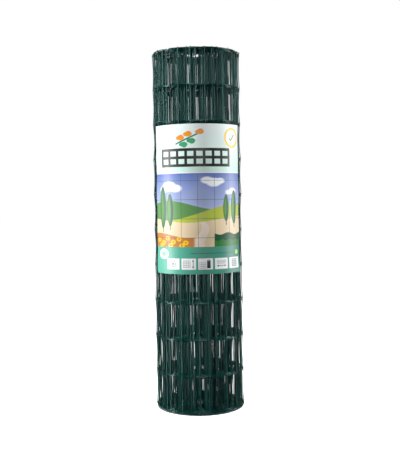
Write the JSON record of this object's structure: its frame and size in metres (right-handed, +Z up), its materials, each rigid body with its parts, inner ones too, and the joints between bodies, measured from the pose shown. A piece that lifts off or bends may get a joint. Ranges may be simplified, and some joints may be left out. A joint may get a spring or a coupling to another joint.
{
  "type": "roll of welded garden mesh",
  "caption": "Upright roll of coated welded wire mesh for garden fencing, wound up on itself round an open bore, with a printed label wrapped round its front.",
  "frame": {"origin": "centre of the roll's base, on the floor that it stands on", "axes": "+Z up along the roll's axis; the label's middle faces -Y"},
  "size_m": [0.256, 0.2567, 1.01],
  "materials": {
    "coated_wire": "satin dark green plastic coating over drawn steel wire",
    "printed_paper": "thin coated sheet with a slightly glossy colour print"
  },
  "bodies": {
    "root": {"mesh_roll": "coated_wire", "label": "printed_paper"}
  },
  "joints": []
}
